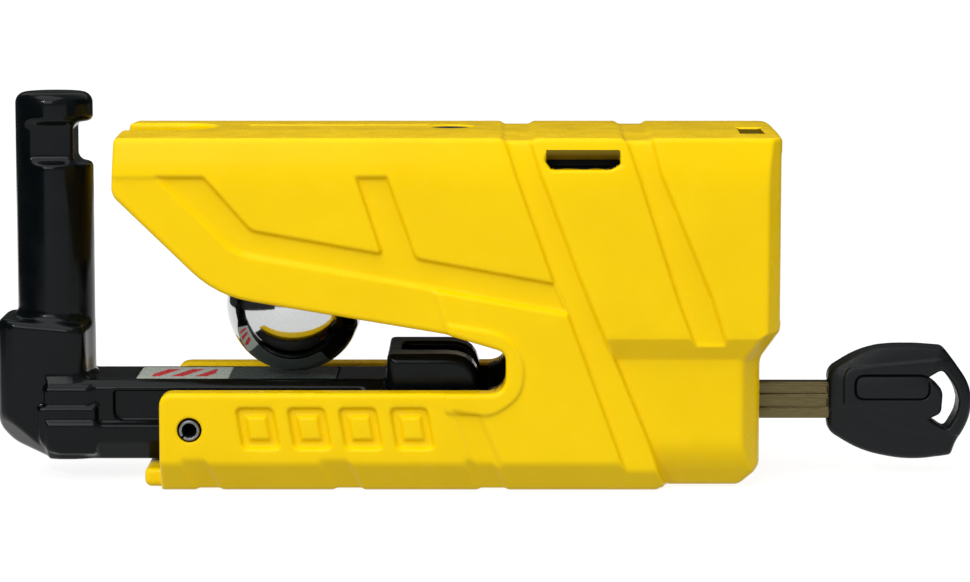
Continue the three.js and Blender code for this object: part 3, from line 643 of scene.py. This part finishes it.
def label_field(g):
    corners = [
        (LABEL_LOW[0], LABEL_LOW[1], 1), (LABEL_HIGH[0], LABEL_LOW[1], 1),
        (LABEL_HIGH[0], LABEL_HIGH[1], 1), (LABEL_LOW[0], LABEL_HIGH[1], 1),
    ]
    return keep(outline(g.x, g.y, corners), span(g.z, LABEL_LOW[2], LABEL_HIGH[2]), 0.05)


# ------------------------------------------------------------------ materials

NOISE_LOW, NOISE_HIGH = 0.3, 0.7  # nearly all of a noise lies between these
GRAIN_DEPTH = 0.0001  # of every bump, in metres


def shader(name, color, roughness, metallic=0.0, **sockets):
    """A material whose constant values sit on the Principled shader's own sockets."""
    material = bpy.data.materials.new(name)
    material.use_nodes = True
    surface = material.node_tree.nodes["Principled BSDF"]
    surface.inputs["Base Color"].default_value = (*color, 1)
    surface.inputs["Roughness"].default_value = roughness
    surface.inputs["Metallic"].default_value = metallic
    for socket, value in sockets.items():
        surface.inputs[socket.replace("_", " ")].default_value = value
    return material


def node(material, kind, **values):
    """Adds a node and sets its inputs or properties by name."""
    made = material.node_tree.nodes.new(kind)
    for key, value in values.items():
        label = key.replace("_", " ")
        if label in made.inputs:
            made.inputs[label].default_value = value
        else:
            setattr(made, key, value)
    return made


def link(material, source, target):
    material.node_tree.links.new(source, target)


def surface_of(material):
    return material.node_tree.nodes["Principled BSDF"]


def noise(material, scale, detail=3.0, coordinates=None):
    """Noise in the object's own metres."""
    made = node(material, "ShaderNodeTexNoise", Scale=scale, Detail=detail)
    if coordinates is None:
        coordinates = node(material, "ShaderNodeTexCoord").outputs["Object"]
    link(material, coordinates, made.inputs["Vector"])
    return made.outputs["Fac"]


def remap(material, value, low, high, to_low, to_high):
    made = node(material, "ShaderNodeMapRange", From_Min=low, From_Max=high, To_Min=to_low, To_Max=to_high)
    link(material, value, made.inputs["Value"])
    return made.outputs["Result"]


def spread(material, value, to_low, to_high):
    """A noise stretched over another range."""
    return remap(material, value, NOISE_LOW, NOISE_HIGH, to_low, to_high)


def vary_roughness(material, value, low, high):
    link(material, spread(material, value, low, high), surface_of(material).inputs["Roughness"])


def bump(material, height, strength):
    made = node(material, "ShaderNodeBump", Strength=strength, Distance=GRAIN_DEPTH)
    link(material, height, made.inputs["Height"])
    link(material, made.outputs["Normal"], surface_of(material).inputs["Normal"])


def vary_color(material, factor, dark, light):
    """Base colour that drifts between two tones."""
    blend = node(material, "ShaderNodeMix", data_type="RGBA")
    blend.inputs[6].default_value = (*dark, 1)
    blend.inputs[7].default_value = (*light, 1)
    link(material, factor, blend.inputs[0])
    link(material, blend.outputs[2], surface_of(material).inputs["Base Color"])
    return blend.outputs[2]


def enamel(name, dark, light, roughness, gloss):
    """Sprayed enamel: a slight orange peel, cloudy tone and a clear glossy skin."""
    material = shader(name, light, roughness, Specular_IOR_Level=gloss)
    cloud = noise(material, 60, 4)
    vary_color(material, spread(material, cloud, 0, 1), dark, light)
    peel = noise(material, 900, 2)
    bump(material, peel, 0.05)
    patches = noise(material, 240, 5)
    vary_roughness(material, patches, roughness - 0.05, roughness + 0.08)
    return material


def metal(name, dark, light, roughness, grain=(1, 1, 1), fineness=1500, strength=0.08):
    """Worked metal: brushed or turned grain in colour, roughness and bump."""
    material = shader(name, light, roughness, 1.0)
    place = node(material, "ShaderNodeTexCoord").outputs["Object"]
    stretch = node(material, "ShaderNodeMapping", vector_type="POINT")
    stretch.inputs["Scale"].default_value = grain
    link(material, place, stretch.inputs["Vector"])
    lines = noise(material, fineness, 4, stretch.outputs["Vector"])
    vary_color(material, spread(material, lines, 0, 1), dark, light)
    vary_roughness(material, lines, roughness * 0.7, roughness * 1.4)
    bump(material, lines, strength)
    return material


def moulded(name, dark, light, roughness, grain=1800, strength=0.25):
    """Moulded plastic with a fine spark-eroded grain."""
    material = shader(name, light, roughness, Specular_IOR_Level=0.2)
    vary_color(material, noise(material, 90, 3), dark, light)
    grains = noise(material, grain, 3)
    vary_roughness(material, grains, roughness - 0.08, roughness + 0.1)
    bump(material, grains, strength)
    return material


YELLOW = enamel("yellow_enamel", (0.86, 0.565, 0.0), (0.9, 0.6, 0.0), 0.24, 0.1)
BLACK = enamel("black_enamel", (0.0010, 0.0019, 0.0024), (0.0018, 0.0032, 0.0039), 0.16, 0.14)
# dark olive enamel: painted shade in the sound slot's roof and the pull notch
PAINTED_SHADE_ENAMEL = enamel("painted_shade_enamel", (0.11, 0.075, 0.001), (0.15, 0.1, 0.002), 0.5, 0.1)
# near-black casting: bare metal inside the openings, darkened to black as painted shade in the cavities
BARE_CASTING_AND_SHADE = moulded("bare_casting_and_painted_shade", (0.012, 0.012, 0.013), (0.022, 0.022, 0.024), 0.6, 900, 0.4)
CHROME = metal("polished_steel", (0.49, 0.505, 0.505), (0.54, 0.55, 0.55), 0.07,
               fineness=2600, strength=0.012)
STEEL = metal("bright_steel", (0.42, 0.43, 0.44), (0.62, 0.63, 0.64), 0.3, (1, 6, 1))
DARK_STEEL = metal("hard_steel", (0.13, 0.13, 0.14), (0.24, 0.24, 0.25), 0.36, (6, 1, 1))
NICKEL_SILVER = metal("nickel_silver", (0.085, 0.068, 0.03), (0.17, 0.138, 0.066), 0.34, (0.15, 4, 4), 2500)
BRASS = metal("turned_brass", (0.44, 0.27, 0.08), (0.60, 0.40, 0.14), 0.28, (8, 1, 1))
BLACK_PLASTIC = moulded("black_plastic", (0.0016, 0.0028, 0.0036), (0.003, 0.0048, 0.006), 0.42)
GREY_PLASTIC = moulded("grey_plastic", (0.035, 0.038, 0.04), (0.06, 0.064, 0.068), 0.5)
RUBBER = moulded("seal_rubber", (0.008, 0.008, 0.008), (0.014, 0.014, 0.014), 0.75, 900, 0.4)
LENS = moulded("smoked_lens", (0.012, 0.022, 0.028), (0.02, 0.032, 0.04), 0.12, 600, 0.02)
LED = moulded("led_body", (0.35, 0.02, 0.01), (0.5, 0.04, 0.02), 0.2, 600, 0.02)
CELL = moulded("cell_sleeve", (0.03, 0.045, 0.08), (0.05, 0.07, 0.12), 0.3, 500, 0.05)


def board_material():
    """Solder mask with tinned pads in a loose grid."""
    material = shader("solder_mask", (0.01, 0.09, 0.04), 0.35)
    place = node(material, "ShaderNodeTexCoord").outputs["Object"]
    dots = node(material, "ShaderNodeTexVoronoi", Scale=420.0, Randomness=0.35)
    link(material, place, dots.inputs["Vector"])
    pad = remap(material, dots.outputs["Distance"], 0.18, 0.22, 1, 0)
    vary_color(material, pad, (0.01, 0.09, 0.04), (0.55, 0.52, 0.46))
    bump(material, pad, 0.3)
    return material


BOARD = board_material()


# Print on the film, in metres.
BAR_SLANT = -0.35
HALF_PITCH = 0.0021
BAR_EDGE = (0.0009, 0.0011)
BARS_ALONG = (-0.0585, -0.0475)
BARS_ACROSS = (-0.0045, 0.0045)
SMOKED_ALONG = (-0.0449, 0)
PRINT_BLUR = 0.0001


def label_material():
    """Printed film: a pale left part with slanted red bars and a plain smoked right part."""
    material = shader("printed_film", (0.4, 0.42, 0.4), 0.28, Specular_IOR_Level=0.15)
    split = node(material, "ShaderNodeSeparateXYZ")
    link(material, node(material, "ShaderNodeTexCoord").outputs["Object"], split.inputs["Vector"])
    across, along = split.outputs["Y"], split.outputs["X"]
    slanted = node(material, "ShaderNodeMath", operation="MULTIPLY_ADD")
    slanted.inputs[1].default_value = BAR_SLANT
    link(material, across, slanted.inputs[0])
    link(material, along, slanted.inputs[2])
    beat = node(material, "ShaderNodeMath", operation="PINGPONG")
    beat.inputs[1].default_value = HALF_PITCH
    link(material, slanted.outputs[0], beat.inputs[0])
    bars = remap(material, beat.outputs[0], *BAR_EDGE, 0, 1)
    inner = both(material, band(material, along, *BARS_ALONG), band(material, across, *BARS_ACROSS))
    red = both(material, bars, inner)
    tone = vary_color(material, red, (0.5, 0.56, 0.52), (0.66, 0.04, 0.05))
    smoked = node(material, "ShaderNodeMix", data_type="RGBA")
    smoked.inputs[7].default_value = (0.062, 0.078, 0.072, 1)
    link(material, band(material, along, *SMOKED_ALONG), smoked.inputs[0])
    link(material, tone, smoked.inputs[6])
    link(material, smoked.outputs[2], surface_of(material).inputs["Base Color"])
    scuffs = noise(material, 1400, 3)
    vary_roughness(material, scuffs, 0.26, 0.3)
    bump(material, scuffs, 0.02)
    return material


def band(material, value, low, high):
    """1 where the value lies between low and high."""
    middle, half = (low + high) / 2, (high - low) / 2
    gap = node(material, "ShaderNodeMath", operation="SUBTRACT")
    gap.inputs[1].default_value = middle
    link(material, value, gap.inputs[0])
    size = node(material, "ShaderNodeMath", operation="ABSOLUTE")
    link(material, gap.outputs[0], size.inputs[0])
    return remap(material, size.outputs[0], half - PRINT_BLUR, half + PRINT_BLUR, 1, 0)


def both(material, first, second):
    product = node(material, "ShaderNodeMath", operation="MULTIPLY")
    link(material, first, product.inputs[0])
    link(material, second, product.inputs[1])
    return product.outputs[0]


LABEL = label_material()


# ------------------------------------------------------------------ making the pieces

SEAM = 0.00001  # vertices closer than this, in metres, are one
SHARP = math.radians(35)  # edges over this angle stay sharp


def cast(name, field, low, high, step, material, most_faces, replaced, slot, body="body"):
    """Meshes a field over a box, and puts the piece in place of its CAD node."""
    grid = Grid(low, high, step)
    piece = cast_piece(name, field(grid), grid, material, most_faces)
    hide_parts(*replaced)
    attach(piece, body)
    return piece


def mirrored(piece, name, replaced):
    """The same piece on the other side of the middle plane."""
    mesh = piece.data
    points = np.zeros(len(mesh.vertices) * 3)
    mesh.vertices.foreach_get("co", points)
    points = points.reshape(-1, 3) * (1, -1, 1)
    faces = [tuple(reversed(polygon.vertices)) for polygon in mesh.polygons]
    twin = object_from(name, points / MM, faces, mesh.materials[0])
    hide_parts(replaced)
    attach(twin, "body")
    return twin


def line_inside(piece, test, material):
    """Gives the faces whose middle passes a test, in millimetres, a material of their own."""
    mesh = piece.data
    count = len(mesh.polygons)
    middles, slots = np.zeros(count * 3), np.zeros(count, np.int32)
    mesh.polygons.foreach_get("center", middles)
    mesh.polygons.foreach_get("material_index", slots)
    x, y, z = (middles.reshape(-1, 3) / MM).T
    slots[test(x, y, z)] = len(mesh.materials)
    mesh.materials.append(material)
    mesh.polygons.foreach_set("material_index", slots)


# Zones of the paint, a little larger than the cuts: left, right, front, back, low, high.
# bare casting, coloured near black as painted shade
BARE_AND_SHADE_ZONES = [
    (-4.2, 21, -16.75, 16.75, 3.2, 24),  # cavity around the tail
    (8.6, 47.2, -13, 13, 30.5, 58),  # alarm bay
    (9.9, 23.7, -19.1, -12, 55.5, 57.7),  # behind the sound slot
]
# zones coloured dark olive as painted shade, not thin paint
PAINTED_SHADE_ZONES = [
    (10.4, 23, -20.9, -12, 57.2, 59.2),  # the sound slot's roof
    (43.9, 48.1, -13.7, -2, 60.1, 61.45),  # pull notch
]


def in_zones(x, y, z, zones):
    inside = np.zeros(len(x), bool)
    for left, right, front, back, low, high in zones:
        inside |= (x > left) & (x < right) & (y > front) & (y < back) & (z > low) & (z < high)
    return inside


def bare_and_shade_faces(x, y, z):
    """Where the paint doesn't reach: bores, the bay and the cavities behind the openings; their near-black
    colour is painted shade.
    """
    out = np.abs(y)
    bore = (x > 21) & (x < 46.7) & (np.hypot(out, z - AXIS_Z) < CYLINDER_R + 0.4)
    ball_seat = (np.hypot(np.hypot(x - BALL[0], out), z - BALL[2]) < BALL_R + 1.7) & (z > 26)
    light = (np.hypot(x - LENS_LOW[0] - LENS_R, out) < 4.2) & (z > 50) & (z < 61)
    cross = (np.hypot(x - ROLL_X, z - ROLL_Z) < ROLL_R + 0.5) & (out < 20.8)
    return in_zones(x, y, z, BARE_AND_SHADE_ZONES) | bore | ball_seat | light | cross


def painted_shade_recesses(x, y, z):
    """Recesses on the front half, coloured dark olive as painted shade."""
    return in_zones(x, y, z, PAINTED_SHADE_ZONES)


# ------------------------------------------------------------------ body pieces

lock_body = cast("painted_lock_body", body_field, BODY_LOW, BODY_HIGH, BODY_STEP, YELLOW, 190_000,
                 ["lock_body"], "body_paint")
# sound slot roof and pull notch: dark olive painted shade
line_inside(lock_body, painted_shade_recesses, PAINTED_SHADE_ENAMEL)
# bores, bay and cavities: bare casting, near black as painted shade
line_inside(lock_body, bare_and_shade_faces, BARE_CASTING_AND_SHADE)

cast("painted_rear_cap", rear_cap_field, CAP_LOW, CAP_HIGH, KEY_STEP + 0.05, YELLOW, 60_000,
     ["rear_cap"], "body_paint")
screw = cast("socket_screw_front", screw_field, SCREW_LOW, SCREW_HIGH, 0.1, STEEL, 20_000,
             ["cap_screw_front"], "steel")
mirrored(screw, "socket_screw_rear", "cap_screw_rear")
roll_pin = cast("spring_pin_front", roll_pin_field, ROLL_LOW, ROLL_HIGH, 0.12, DARK_STEEL, 20_000,
                ["roll_pin_front"], "steel")
mirrored(roll_pin, "spring_pin_rear", "roll_pin_rear")
rail = cast("slide_rail_front", rail_field, *corners_mm("guide_rail_front"), 0.25, BLACK_PLASTIC, 20_000,
            ["guide_rail_front"], "black_plastic")
mirrored(rail, "slide_rail_rear", "guide_rail_rear")
cast("fork_insert", fork_field, *corners_mm("arm_fork_plate"), 0.25, DARK_STEEL, 12_000,
     ["arm_fork_plate"], "hard_steel")
cast("domed_lens", lens_field, LENS_LOW, LENS_HIGH, 0.12, LENS, 12_000, ["led_lens"], "lens")

# ------------------------------------------------------------------ sledge pieces

cast("painted_sledge", sledge_field, SLEDGE_LOW, SLEDGE_HIGH, SLEDGE_STEP, BLACK, 180_000,
     ["sledge"], "bolt_paint", "sledge")
cast("printed_label", label_field, LABEL_LOW, LABEL_HIGH, 0.1, LABEL, 8_000, ["bar_label"], "label", "sledge")

# ------------------------------------------------------------------ ball


def ball_piece():
    """Ground ball: a cube sphere, so that no pole shows in its reflections."""
    count = 64  # squares along each side of the cube
    lines = np.tan(np.linspace(-math.pi / 4, math.pi / 4, count + 1))
    vertices, faces = [], []
    for axis in range(3):
        for side in (-1, 1):
            start = len(vertices)
            for a in lines:
                for b in lines:
                    point = np.zeros(3)
                    point[axis], point[(axis + 1) % 3], point[(axis + 2) % 3] = side, a * side, b
                    vertices.append(BALL + BALL_R * point / np.linalg.norm(point))
            for i in range(count):
                for j in range(count):
                    first = start + i * (count + 1) + j
                    faces.append((first, first + count + 1, first + count + 2, first + 1))
    piece = object_from("polished_ball", vertices, faces, CHROME)
    seams = piece.modifiers.new("seams", "WELD")
    seams.merge_threshold = SEAM
    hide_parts("steel_ball")
    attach(piece, "ball")


ball_piece()

# ------------------------------------------------------------------ key pieces

cast("shaped_key_head", key_head_field, HEAD_LOW, HEAD_HIGH, KEY_STEP, BLACK_PLASTIC, 120_000,
     ["key_head"], "black_plastic", "key")
cast("milled_key_blade", key_blade_field, BLADE_LOW, BLADE_HIGH, 0.14, NICKEL_SILVER, 60_000,
     ["key_blade"], "key_metal", "key")

# ------------------------------------------------------------------ CAD nodes that stay


def smooth_by_angle():
    """Node group that shades a mesh smooth except across its sharp edges."""
    group = bpy.data.node_groups.new("smooth_by_angle", "GeometryNodeTree")
    group.interface.new_socket("Geometry", in_out="INPUT", socket_type="NodeSocketGeometry")
    group.interface.new_socket("Geometry", in_out="OUTPUT", socket_type="NodeSocketGeometry")
    nodes, links = group.nodes, group.links
    entry, leave = nodes.new("NodeGroupInput"), nodes.new("NodeGroupOutput")
    faces = nodes.new("GeometryNodeSetShadeSmooth")
    edges = nodes.new("GeometryNodeSetShadeSmooth")
    edges.domain = "EDGE"
    edges.inputs["Shade Smooth"].default_value = False
    angle = nodes.new("GeometryNodeInputMeshEdgeAngle")
    sharp = nodes.new("FunctionNodeCompare")
    sharp.operation = "GREATER_THAN"
    sharp.inputs["B"].default_value = SHARP
    links.new(entry.outputs[0], faces.inputs["Geometry"])
    links.new(faces.outputs[0], edges.inputs["Geometry"])
    links.new(angle.outputs["Unsigned Angle"], sharp.inputs["A"])
    links.new(sharp.outputs[0], edges.inputs["Selection"])
    links.new(edges.outputs[0], leave.inputs[0])
    return group


SMOOTH = smooth_by_angle()

# Node, material and width of its edge bevel in millimetres.
FINISHES = [
    ("ball_cup", GREY_PLASTIC, 0.1), ("cap_gasket", RUBBER, 0.08), ("led_emitter", LED, 0.1),
    ("led_lead", BLACK_PLASTIC, 0.05), ("pin_sensor", GREY_PLASTIC, 0.2),
    # the sound mesh shares the near-black casting colour that paints shade in the cavities
    ("sensor_lead", BLACK_PLASTIC, 0.1), ("sound_mesh", BARE_CASTING_AND_SHADE, 0.05),
    ("piezo_housing", BLACK_PLASTIC, 0.15), ("piezo_disc", BRASS, 0.05), ("circuit_board", BOARD, 0.08),
    ("control_chip", BLACK_PLASTIC, 0.12), ("motion_sensor", BLACK_PLASTIC, 0.12),
    ("alarm_frame", GREY_PLASTIC, 0.2), ("battery_cell", CELL, 0.3), ("battery_spring", NICKEL_SILVER, 0.1),
    ("battery_contact", NICKEL_SILVER, 0.08), ("cylinder_housing", BRASS, 0.15),
    ("cylinder_retaining_pin", STEEL, 0.15), ("drill_plate", DARK_STEEL, 0.15),
    ("cylinder_plug", BRASS, 0.12), ("lock_bolt", DARK_STEEL, 0.3), ("sidebar", STEEL, 0.08),
    ("key_badge", BLACK_PLASTIC, 0.12),
] + [(f"tumbler_disc_{i}", BRASS, 0.1) for i in range(1, 7)]


def finish_node(name, material, bevel):
    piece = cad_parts[name]
    piece.data.materials.clear()
    piece.data.materials.append(material)
    seams = piece.modifiers.new("seams", "WELD")
    seams.merge_threshold = SEAM
    edges = piece.modifiers.new("edges", "BEVEL")
    edges.width = bevel * MM
    edges.segments = 2
    edges.limit_method = "ANGLE"
    edges.angle_limit = SHARP
    shade = piece.modifiers.new("shade", "NODES")
    shade.node_group = SMOOTH


for name, material, bevel in FINISHES:
    finish_node(name, material, bevel)

# ------------------------------------------------------------------ camera, light, floor

CAMERA_LENS = 135.2
CAMERA_X = 0.9
CAMERA_BACK = -637.4
CAMERA_HIGH = 110.4
CAMERA_PITCH = 6.96
CAMERA_YAW = 0.08


def add_camera():
    data = bpy.data.cameras.new("camera")
    data.sensor_width = 36
    data.lens = CAMERA_LENS
    data.clip_start = 0.01
    camera = bpy.data.objects.new("camera", data)
    camera.location = (CAMERA_X * MM, CAMERA_BACK * MM, CAMERA_HIGH * MM)
    camera.rotation_euler = (math.radians(90 - CAMERA_PITCH), 0, math.radians(CAMERA_YAW))
    bpy.context.collection.objects.link(camera)
    bpy.context.scene.camera = camera


def softbox(name, place, target, size, power, diffuse=1.0):
    """Rectangular light; diffuse below 1 makes it count mostly in reflections."""
    data = bpy.data.lights.new(name, "AREA")
    data.diffuse_factor = diffuse
    data.shape = "RECTANGLE"
    data.size, data.size_y = size
    data.energy = power
    lamp = bpy.data.objects.new(name, data)
    lamp.location = place
    lamp.rotation_euler = (Vector(target) - Vector(place)).to_track_quat("-Z", "Y").to_euler()
    bpy.context.collection.objects.link(lamp)


def stage_sheet(name, corners, material):
    """Flat part of the set. It shows in reflections, but lights nothing by diffuse bounce."""
    mesh = bpy.data.meshes.new(name)
    mesh.from_pydata(corners, [], [(0, 1, 2, 3)])
    mesh.materials.append(material)
    sheet = bpy.data.objects.new(name, mesh)
    sheet.visible_diffuse = False
    bpy.context.collection.objects.link(sheet)
    return sheet


FLOOR_CORNERS = [(-4, -3, 0), (4, -3, 0), (4, 5, 0), (-4, 5, 0)]
CARD_HIGH = 0.3
CARDS = [  # name and the two ends of the lower edge, in metres
    ("left_card", (-0.24, -0.35), (-0.24, 0.25)),
    ("right_card", (0.26, -0.35), (0.26, 0.25)),
    ("back_card", (-0.9, 0.5), (0.9, 0.5)),
]


def add_floor():
    material = shader("pale_floor", (0.22, 0.22, 0.22), 0.8, Emission_Color=(1, 1, 1, 1),
                      Emission_Strength=0.88, Specular_IOR_Level=0.1)
    stage_sheet("floor", FLOOR_CORNERS, material)


def add_cards():
    """Dark cards outside the picture, which give glossy edges and tops something dark to reflect."""
    material = shader("dark_card", (0.02, 0.02, 0.02), 0.9)
    for name, start, end in CARDS:
        corners = [(*start, 0), (*end, 0), (*end, CARD_HIGH), (*start, CARD_HIGH)]
        card = stage_sheet(name, corners, material)
        card.visible_camera = False
        card.visible_shadow = False


MIDDLE = (0, 0, 0.03)  # of the object, in metres
LIGHTS = [  # name, place, target, size and watts, and how much of it counts in diffuse light
    ("top_light", (-0.25, -0.35, 0.95), MIDDLE, (1.1, 0.9), 7),
    ("front_light", (-0.35, -1.2, 0.6), MIDDLE, (0.6, 0.5), 4.4),
    ("left_spark", (-0.45, -0.7, 0.5), MIDDLE, (0.03, 0.03), 2.2, 0.4),
    ("right_fill", (0.95, -0.55, 0.3), (0.05, 0, 0.03), (0.4, 0.4), 1.3),
]
SKY_STRENGTH = 0.45

add_camera()
add_floor()
add_cards()
for light in LIGHTS:
    softbox(*light)

world = bpy.data.worlds.new("studio")
bpy.context.scene.world = world
world.use_nodes = True
sky = world.node_tree.nodes["Background"].inputs
sky["Color"].default_value = (1, 1, 1, 1)
sky["Strength"].default_value = SKY_STRENGTH
bpy.context.scene.view_settings.view_transform = "Standard"
